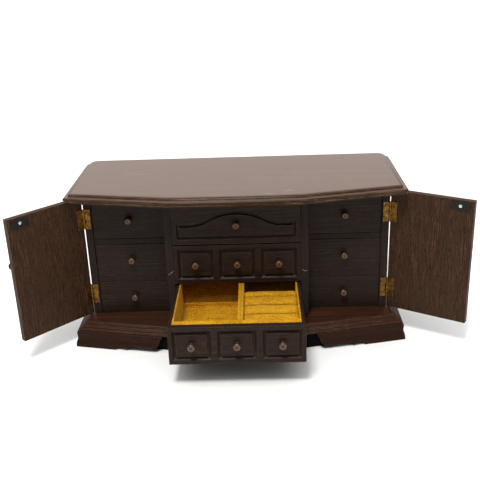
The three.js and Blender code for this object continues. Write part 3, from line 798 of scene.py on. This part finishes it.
@dataclass
class TrayLining:
    """Velvet glued to card inside one drawer's tray, and folded over the tray's rim."""

    name: str
    material: bpy.types.Material
    cloth_mm: float = 1.7
    floor_mm: float = 1.4
    rim_mm: float = 0.4
    gap_mm: float = 0.05
    dividers: tuple[tuple[float, float], ...] = ()
    front_pad_mm: float = 0.0
    foot_mm: float = 6.0  # upstand of the floor's velvet against the back
    foot_thick_mm: float = 1.3
    over_divider_mm: float = 1.42  # flange that covers a divider's top from one side
    bare_front_mm: float = 0.3  # wood left bare along the front's rim
    seam_tuck_mm: float = 0.3  # the seam's ends, pushed into the side cloth
    bare_floor_mm: float = 0.0  # cloth alone, under the ring rolls
    shaded: bpy.types.Material | None = None  # the back pad, painted darker: painted shade

    def build(self) -> bpy.types.Object:
        """Builds the lining of each compartment and rides it on the drawer.

        Returns:
            The lining.
        """
        node = f"drawer_{self.name}_tray"
        xs, ys, zs = (levels(node, axis) for axis in range(3))
        low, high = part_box(node)
        wall = ys[1] - ys[0]
        walls = [(low.x, low.x + wall), *self.dividers, (high.x - wall, high.x)]
        build = bmesh.new()
        for (_, left), (right, _) in zip(walls, walls[1:]):
            outer = (left, low.y + wall, right, high.y - wall)
            over = Sides(
                0.0 if left == walls[0][1] else self.over_divider_mm,
                wall / MM - self.bare_front_mm if self.front_pad_mm else 0.0,
                0.0 if right == walls[-1][0] else self.over_divider_mm,
                0.0,
            )
            cloth = self.cloth_mm
            pad = Sides(cloth, cloth + self.front_pad_mm, cloth, cloth)
            floor = self.floor_mm
            if left != walls[0][1] and self.bare_floor_mm:
                floor = self.bare_floor_mm
            self.tub(build, outer, (zs[1], high.z), pad, over, floor)
        if self.front_pad_mm:
            self.seam(build, walls, high.y - wall, zs[1] + self.floor_mm * MM)
        piece = mesh_object(f"lining_{self.name}", build, self.material)
        if self.shaded:
            # the back pad's upright face takes the darker velvet: painted shade
            piece.data.materials.append(self.shaded)
            back = high.y - wall - (self.cloth_mm + 0.2) * MM
            for face in piece.data.polygons:
                upright = face.normal.y < -0.9 and face.area > 40 * MM * MM
                face.material_index = int(upright and abs(face.center.y - back) < 0.4 * MM)
        add_modifier(
            piece, "BEVEL", width=0.38 * MM, segments=3, limit_method="ANGLE", angle_limit=math.radians(40)
        )
        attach(piece, f"drawer_{self.name}")
        return piece

    def seam(
        self, build: bmesh.types.BMesh, walls: list[tuple[float, float]], back: float, floor: float,
        radius: float = 0.9,
    ) -> None:
        """A folded roll of velvet where the left compartment's padded floor meets the back.

        Args:
            build: Where it is added.
            walls: Left and right faces of each wall, left to right.
            back: Y of the wood at the back.
            floor: Height of the padded floor.
            radius: The roll's radius in millimetres.
        """
        tuck = (self.cloth_mm - self.seam_tuck_mm) * MM
        left, right = walls[0][1] + tuck, walls[1][0] - tuck
        r, length = radius * MM, right - left
        thick, tall = self.foot_thick_mm * MM, self.foot_mm * MM
        foot = bmesh.ops.create_cube(build, size=1.0)["verts"]
        middle = ((left + right) / 2, back - (self.cloth_mm + 0.7) * MM, floor + tall / 2)
        size = Matrix.Diagonal((length, thick, tall, 1))
        bmesh.ops.transform(build, matrix=Matrix.Translation(middle) @ size, verts=foot)
        start = (left, back - self.cloth_mm * MM - thick - r * 0.5, floor + r * 0.4)
        place = Matrix.Translation(start) @ Matrix.Rotation(math.pi / 2, 4, "Y")
        profile = [(0, 0), (r * 0.7, 0), (r, r * 0.4), (r, length - r * 0.4), (r * 0.7, length), (0, length)]
        lathe(build, profile, place, 12)

    def tub(
        self, build: bmesh.types.BMesh, outer: tuple[float, float, float, float], heights: tuple[float, float],
        pad: Sides, over: Sides, floor_mm: float,
    ) -> None:
        """A closed, open-topped tub with a flange that folds over the rim.

        Args:
            build: Where it is added.
            outer: Lowest X, Y and highest X, Y of the wood round the compartment.
            heights: The wood floor and the tray's rim.
            pad: Thickness of card and velvet against each side.
            over: Width of the flange over each side.
            floor_mm: Thickness of card and velvet on the floor.
        """
        gap, rim = self.gap_mm * MM, self.rim_mm * MM
        floor, top = heights[0] + gap, heights[1] + gap
        folded = Sides(*(-width or self.gap_mm for width in (over.left, over.front, over.right, over.back)))
        rings = [
            (Sides.even(self.gap_mm), floor),
            (Sides.even(self.gap_mm), top),
            (folded, top),
            (folded, top + rim),
            (pad, top + rim),
            (pad, floor + floor_mm * MM),
        ]
        made = []
        for inset, z in rings:
            x0, y0 = outer[0] + inset.left * MM, outer[1] + inset.front * MM
            x1, y1 = outer[2] - inset.right * MM, outer[3] - inset.back * MM
            made.append([build.verts.new((x, y, z)) for x, y in ((x0, y0), (x1, y0), (x1, y1), (x0, y1))])
        for ring, following in zip(made, made[1:]):
            for i in range(4):
                build.faces.new([ring[i], ring[(i + 1) % 4], following[(i + 1) % 4], following[i]])
        build.faces.new(made[0])
        build.faces.new(list(reversed(made[-1])))


@dataclass
class RingRolls:
    """The ring holder: velvet wrapped round soft rolls that press against each other."""

    material: bpy.types.Material
    # darker velvet for the slits between rolls: painted shade
    slit_painted_shade: bpy.types.Material
    slit_shade_depth_mm: float = 2.5
    pitches_mm: tuple[float, ...] = (22, 22, 22, 12)
    slit_mm: float = 9.0
    slit_width_mm: float = 1.5
    squareness: float = 3.6
    end_gap_mm: float = 1.9

    def section(self, low: Vector, high: Vector) -> list[tuple[float, float]]:
        """The rolls' outline from front to back.

        Args:
            low: Lowest corner of the block.
            high: Highest corner.

        Returns:
            Y and Z pairs round the block.
        """
        steps = 16
        points = [(low.y, low.z)]
        start = low.y
        for pitch in self.pitches_mm:
            width = pitch - self.slit_width_mm
            for i in range(steps + 1):
                share = (1 - math.cos(math.pi * i / steps)) / 2
                bulge = (1 - abs(2 * share - 1) ** self.squareness) ** (1 / self.squareness)
                y = start + (self.slit_width_mm / 2 + width * share) * MM
                points.append((y, high.z - self.slit_mm * MM * (1 - bulge)))
            start += pitch * MM
        points.append((high.y, low.z))
        return points

    def build(self) -> bpy.types.Object:
        """Builds the rolls in the CAD block's space and stands them for it.

        Returns:
            The rolls.
        """
        low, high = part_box("ring_rolls")
        build = bmesh.new()
        lengths = 28
        section = self.section(low, high)
        x0, x1 = low.x + self.end_gap_mm * MM, high.x - self.end_gap_mm * MM
        rings = []
        for k in range(lengths + 1):
            share = k / lengths
            # the wrapped ends turn down a little, and the stuffing is uneven along the length
            fall = 1.6 * MM * (1 - min(1.0, min(share, 1 - share) * lengths / 2.0)) ** 2
            fall += 0.25 * MM * (1 + math.sin(share * 9.0 + 1.0))
            x = x0 + (x1 - x0) * share
            rings.append([build.verts.new((x, y, z - (fall if z > low.z + MM else 0))) for y, z in section])
        count = len(section)
        for ring, following in zip(rings, rings[1:]):
            for i in range(count):
                j = (i + 1) % count
                face = build.faces.new([ring[i], ring[j], following[j], following[i]])
                y, z = (sum(pair) / 2 for pair in zip(section[i], section[j]))
                # faces deep in a slit take the darker velvet: painted shade
                face.material_index = int(low.y + 2 * MM < y < high.y - MM and z < high.z - self.slit_shade_depth_mm * MM)
        build.faces.new(rings[0])
        build.faces.new(list(reversed(rings[-1])))
        piece = mesh_object("velvet_ring_rolls", build, self.material)
        piece.data.materials.append(self.slit_painted_shade)
        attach(piece, "drawer_centre_bottom")
        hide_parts("ring_rolls")
        return piece


# ---------------------------------------------------------------- small fittings
@dataclass
class Screws:
    """Countersunk cross-head screws that hold the hinge leaves and the strike plates."""

    brass: bpy.types.Material
    zinc: bpy.types.Material
    shadow: bpy.types.Material
    from_middle: float = 8.3  # hinge screws above and below the leaf's middle
    from_pin: float = 5.3
    hinge_head: float = 1.55
    plate_head: float = 1.9
    rise: float = 0.06  # heads are nearly flush, so that two leaves can close on each other

    def head(
        self, name: str, place: Matrix, radius: float, rise: float, material: bpy.types.Material
    ) -> bpy.types.Object:
        """One slightly domed head with a cross slot.

        Args:
            name: The screw's name.
            place: Centre of the head on the plate; Z points out of the plate.
            radius: The head's radius in millimetres.
            rise: Height of the dome in millimetres.
            material: Its plating.

        Returns:
            The screw head.
        """
        build = bmesh.new()
        r = radius
        profile = [(0, -0.4), (r * 0.6, -0.4), (r, 0), (r * 0.96, rise * 0.5), (r * 0.62, rise * 0.92)]
        profile += [(r * 0.34, rise), (r * 0.2, rise * 0.2), (0, -0.1)]
        lathe(build, [(a * MM, b * MM) for a, b in profile], place, 20)
        return mesh_object(name, build, material)

    def ring(self, name: str, place: Matrix, inner: float, outer: float, rise: float) -> bpy.types.Object:
        """A dark ring round a screw head: painted shadow of its countersink.

        Args:
            name: The ring's name.
            place: Centre on the plate.
            inner: Inner radius in millimetres.
            outer: Outer radius in millimetres.
            rise: Height of its lip in millimetres.

        Returns:
            The ring.
        """
        build = bmesh.new()
        middle = (inner + outer) / 2
        low = rise * 0.4
        section = [(inner, -0.2), (outer, -0.2), (outer, low), (middle, rise), (inner, low), (inner, -0.2)]
        lathe(build, [(a * MM, b * MM) for a, b in section], place, 24)
        bmesh.ops.remove_doubles(build, verts=build.verts, dist=1e-7)
        return mesh_object(name, build, self.shadow)

    def build(self) -> int:
        """Puts two screws in each hinge leaf and one in each strike plate.

        Returns:
            How many screws were made.
        """
        made = 0
        for name, node in frame["nodes"].items():
            body = body_of(node)[0]
            if "leaf" in name:
                out, centre = self.leaf_frame(name)
                for end, where in ((-1, "lower"), (1, "upper")):
                    place = self.facing(centre + Vector((0, 0, end * self.from_middle * MM)), out)
                    screw = self.head(f"screw_{name}_{where}", place, self.hinge_head, self.rise, self.brass)
                    # a dark ring round each head: painted shadow
                    painted_shadow_ring = self.ring(f"recess_{name}_{where}", place, 1.6, 2.1, 0.04)
                    self.add(screw, body, "brass")
                    self.add(painted_shadow_ring, body, "brass")
                    made += 1
            elif "strike" in name:
                out, centre = self.plate_frame(name)
                place = self.facing(centre, out)
                screw = self.head(f"screw_{name}", place, self.plate_head, self.rise, self.zinc)
                self.add(screw, body, "black_steel")
                # a dark ring round the head: painted shadow
                self.add(self.ring(f"recess_{name}", place, 1.95, 2.7, 0.05), body, "black_steel")
                made += 1
        return made

    @staticmethod
    def add(piece: bpy.types.Object, body: str, slot: str) -> None:
        """Rides a fitting on a body."""
        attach(piece, body)

    @staticmethod
    def facing(spot: Vector, out: Vector) -> Matrix:
        """A placing matrix at a spot whose Z points out."""
        return Matrix.Translation(spot) @ out.to_track_quat("Z", "Y").to_matrix().to_4x4()

    @staticmethod
    def pin_of(name: str) -> Vector:
        """Where the pin of this leaf's or plate's door stands."""
        side = "left" if "left" in name else "right"
        joint = next(j for j in frame["joints"] if j["name"] == f"door_{side}_hinge")
        return Vector(joint["pos_m"])

    def flat_frame(self, name: str) -> tuple[Vector, Vector, float]:
        """The largest upright flat of a node.

        Args:
            name: The CAD node.

        Returns:
            The outward normal on the side nearer the pin's axis plane, the direction across it and
            that face's offset.
        """
        mesh = frame["nodes"][name].data
        areas: dict[tuple[float, float], float] = {}
        for face in mesh.polygons:
            if abs(face.normal.z) < 0.1:
                key = (round(face.normal.x, 2), round(face.normal.y, 2))
                areas[key] = areas.get(key, 0.0) + face.area
        best = max(areas, key=areas.get)
        normal = Vector((*best, 0)).normalized()
        pin = self.pin_of(name)
        pin.z = 0
        # the plate's exposed face is the one on the pin's side
        points = [v.co for v in mesh.vertices]
        middle = sum((p for p in points), Vector()) / len(points)
        flats = [
            f.center.dot(normal) for f in mesh.polygons
            if abs(abs(f.normal.dot(normal)) - 1) < 0.01 and (f.center - pin).to_2d().length > 2.4 * MM
        ]
        faces = (min(flats), max(flats))
        near = min(faces, key=lambda offset: abs(offset - pin.dot(normal)))
        out = normal if near == faces[1] else -normal
        across = Vector((0, 0, 1)).cross(out)
        if across.dot(middle - pin) < 0:
            across = -across
        return out, across, near * (1 if near == faces[1] else -1)

    def leaf_frame(self, name: str) -> tuple[Vector, Vector]:
        """Outward and the middle of a hinge leaf's exposed face."""
        out, across, offset = self.flat_frame(name)
        low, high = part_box(name)
        pin = self.pin_of(name)
        spot = Vector((pin.x, pin.y, (low.z + high.z) / 2)) + across * self.from_pin * MM
        return out, spot + out * (offset - spot.dot(out))

    def plate_frame(self, name: str) -> tuple[Vector, Vector]:
        """Outward and the middle of a strike plate's exposed face."""
        low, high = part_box(name)
        mesh = frame["nodes"][name].data
        big = max(mesh.polygons, key=lambda f: f.area if abs(f.normal.z) < 0.1 else 0)
        normal = Vector(big.normal)
        door = frame["nodes"][name.replace("strike_plate", "door")].data
        board = sum((v.co for v in door.vertices), Vector()) / len(door.vertices)
        middle = (low + high) / 2
        out = normal if normal.dot(middle - board) > 0 else -normal
        reach = max(v.co.dot(out) for v in mesh.vertices)
        return out, middle + out * (reach - middle.dot(out))


@dataclass
class MagnetCatches:
    """The small bar magnets in the rail over the side drawers that the strike plates meet."""

    material: bpy.types.Material
    length: float = 18.0
    height: float = 3.6
    depth: float = 2.4
    from_pin: float = 82.8
    cant_deg: float = 12.0  # the front falls back by this
    behind_pin: float = 0.45
    rest: float = 179.0

    def build(self) -> int:
        """Sets one magnet behind each door's top corner.

        Returns:
            How many were made.
        """
        cant = math.radians(self.cant_deg)
        for side, sign in (("left", -1), ("right", 1)):
            joint = next(j for j in frame["joints"] if j["name"] == f"door_{side}_hinge")
            pin = Vector(joint["pos_m"])
            along = Vector((-sign * math.cos(cant), -math.sin(cant), 0))
            inward = Vector((-sign * math.sin(cant), math.cos(cant), 0)).normalized()
            build = bmesh.new()
            bmesh.ops.create_cube(build, size=1.0)
            turn = Matrix((along, inward, Vector((0, 0, 1)))).transposed().to_4x4()
            size = Matrix.Diagonal((self.length * MM, self.depth * MM, self.height * MM, 1))
            behind = inward * (self.behind_pin + self.depth / 2) * MM
            spot = Vector((pin.x, pin.y, 0)) + along * self.from_pin * MM + behind
            spot.z = (self.rest + self.height / 2) * MM
            build.transform(Matrix.Translation(spot) @ turn @ size)
            piece = mesh_object(f"magnet_catch_{side}", build, self.material)
            add_modifier(piece, "BEVEL", width=0.35 * MM, segments=2, limit_method="ANGLE")
            piece.data.polygons.foreach_set("use_smooth", [False] * len(piece.data.polygons))
            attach(piece, "case")
        return 2


@dataclass
class ChippedEdges:
    """Raw slivers on the partitions' front edges, where the lower rail's joint has chipped."""

    material: bpy.types.Material

    def build(self) -> int:
        """Lays a sliver on each partition's front.

        Returns:
            How many were made.
        """
        marks = (("left", -84.4, 90.8, -77.2, 96.2, 0.55), ("right", 77.2, 94.2, 84.8, 91.4, 0.4))
        for side, x0, z0, x1, z1, width in marks:
            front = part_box(f"partition_{side}")[0].y
            build = bmesh.new()
            steps = 7
            edges: list[list[bmesh.types.BMVert]] = []
            for i in range(steps + 1):
                share = i / steps
                half = width * (0.25 + math.sin(math.pi * share) * (0.75 + 0.2 * math.sin(share * 17))) / 2
                x, z = x0 + (x1 - x0) * share, z0 + (z1 - z0) * share + 0.2 * math.sin(share * 11)
                corners = (
                    (x, z - half, 0.05), (x, z + half, 0.05),
                    (x, z + half * 0.5, -0.1), (x, z - half * 0.5, -0.1),
                )
                edges.append([build.verts.new((cx * MM, front + cy * MM, cz * MM)) for cx, cz, cy in corners])
            for ring, following in zip(edges, edges[1:]):
                for i in range(4):
                    build.faces.new([ring[i], ring[(i + 1) % 4], following[(i + 1) % 4], following[i]])
            build.faces.new(edges[0])
            build.faces.new(list(reversed(edges[-1])))
            piece = mesh_object(f"chipped_edge_{side}", build, self.material)
            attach(piece, "case")
        return len(marks)


# ---------------------------------------------------------------- studio
@dataclass
class Studio:
    """The white table, its soft light and the camera."""

    eye: Point = (0.028472, -0.798728, 0.468633)
    pitch: float = 0.38572831608056574
    yaw: float = -0.029398630388086346
    roll: float = -0.03671155618957712
    lens: float = 56.0148
    sensor: float = 36.0

    def build(self) -> None:
        """Makes the floor, lights, world and camera."""
        self.floor()
        self.lights()
        self.camera()
        bpy.context.scene.view_settings.view_transform = "Standard"

    def floor(self) -> None:
        """Lays the table top."""
        build = bmesh.new()
        bmesh.ops.create_grid(build, x_segments=8, y_segments=8, size=6.0)
        floor = mesh_object("table_top", build, PaleFloor().build())

    def lights(self) -> None:
        """Sets a surround that is white above and behind, grey in front, and one soft lamp."""
        world = bpy.data.worlds.new("white_surround")
        world.use_nodes = True
        tree = world.node_tree
        tree.nodes.clear()
        ray = add_node(tree, "TexCoord").outputs["Generated"]
        axes = add_node(tree, "SeparateXYZ", links={0: ray})
        level = spread(tree, axes.outputs["Y"], -0.6, 0.35, 0.12, 1.15)
        strength = add_node(
            tree, "Math", {"operation": "MAXIMUM"},
            links={0: level, 1: spread(tree, axes.outputs["Z"], 0.5, 0.9, 0.12, 1.7)},
        )
        back = add_node(
            tree, "Background", values={"Color": (1, 1, 1, 1)}, links={"Strength": strength.outputs[0]}
        )
        add_node(tree, "OutputWorld", links={"Surface": back.outputs[0]})
        bpy.context.scene.world = world
        self.lamp("key", (-0.25, -1.1, 2.3), 0.5, 46.0)

    def lamp(self, name: str, place: Point, size: float, power: float) -> None:
        """Hangs one square soft lamp that faces the object.

        Args:
            name: The lamp's name.
            place: Where it hangs.
            size: Its side in metres.
            power: Its power in watts.
        """
        data = bpy.data.lights.new(name, "AREA")
        data.size = size
        data.energy = power
        lamp = bpy.data.objects.new(name, data)
        lamp.location = place
        lamp.rotation_mode = "QUATERNION"
        lamp.rotation_quaternion = (Vector((0, 0.05, 0.1)) - Vector(place)).to_track_quat("-Z", "Y")
        bpy.context.scene.collection.objects.link(lamp)

    def camera(self) -> None:
        """Stands the camera and makes it the scene's."""
        p, y, r = self.pitch, self.yaw, self.roll
        forward = Vector((math.sin(y) * math.cos(p), math.cos(y) * math.cos(p), -math.sin(p)))
        level = Vector((math.cos(y), -math.sin(y), 0))
        upright = level.cross(forward)
        right = math.cos(r) * level + math.sin(r) * upright
        up = -math.sin(r) * level + math.cos(r) * upright
        data = bpy.data.cameras.new("camera")
        data.sensor_width = self.sensor
        data.lens = self.lens
        data.clip_end = 50
        camera = bpy.data.objects.new("camera", data)
        turn = Matrix((right, up, -forward)).transposed()
        camera.matrix_world = Matrix.Translation(Vector(self.eye)) @ turn.to_4x4()
        bpy.context.scene.collection.objects.link(camera)
        bpy.context.scene.camera = camera


def main() -> None:
    """Builds the pieces in order."""
    logging.basicConfig(level=logging.INFO, format="%(message)s")
    finishes = {
        "top_wood": TOP_WOOD, "base_wood": BASE_WOOD, "case_wood": CASE_WOOD, "door_wood": DOOR_WOOD,
        "front_wood": FRONT_WOOD, "tray_wood": TRAY_WOOD, "brass": BRASS, "black_steel": BLACK_STEEL,
        "knob_wood": KNOB_WOOD, "velvet": VELVET, "rubbed_knob": KNOB_RIM_WORN_AND_LIT, "velvet_fold": VELVET_PAINTED_SHADE,
        "skirt": SKIRT_PAINTED_SHADE, "foot": FOOT_WOOD, "zinc": ZINC, "raw": RAW_WOOD,
    }
    made = {slot: finish.build() for slot, finish in finishes.items()}
    own = {name: made["foot"] for name in frame["nodes"] if name.startswith("foot")}
    # the skirt takes the near-black finish: painted shade
    own["front_skirt"] = made["skirt"]
    log.info("dressed %d wooden and metal nodes", CarriedNodes(made, own_finish=own).dress())
    log.info("turned %d knobs", TurnedKnobs(made["knob_wood"], made["rubbed_knob"]).build())
    trays = [
        n.removeprefix("drawer_").removesuffix("_tray") for n in frame["nodes"] if n.endswith("_tray")
    ]
    for name in trays:
        lining = TrayLining(name, made["velvet"])
        if name == "centre_bottom":
            lining = TrayLining(
                name, made["velvet"], dividers=((2.5 * MM, 5.5 * MM),), front_pad_mm=2.5, floor_mm=6.0,
                bare_floor_mm=0.2, shaded=made["velvet_fold"],
            )
        log.info("lined %s", lining.build().name)
    log.info("wrapped %s", RingRolls(made["velvet"], made["velvet_fold"]).build().name)
    log.info("set %d screws", Screws(made["brass"], made["zinc"], made["black_steel"]).build())
    log.info("set %d magnet catches", MagnetCatches(made["black_steel"]).build())
    log.info("chipped %d edges", ChippedEdges(made["raw"]).build())
    Studio().build()


if __name__ == "__main__":
    main()
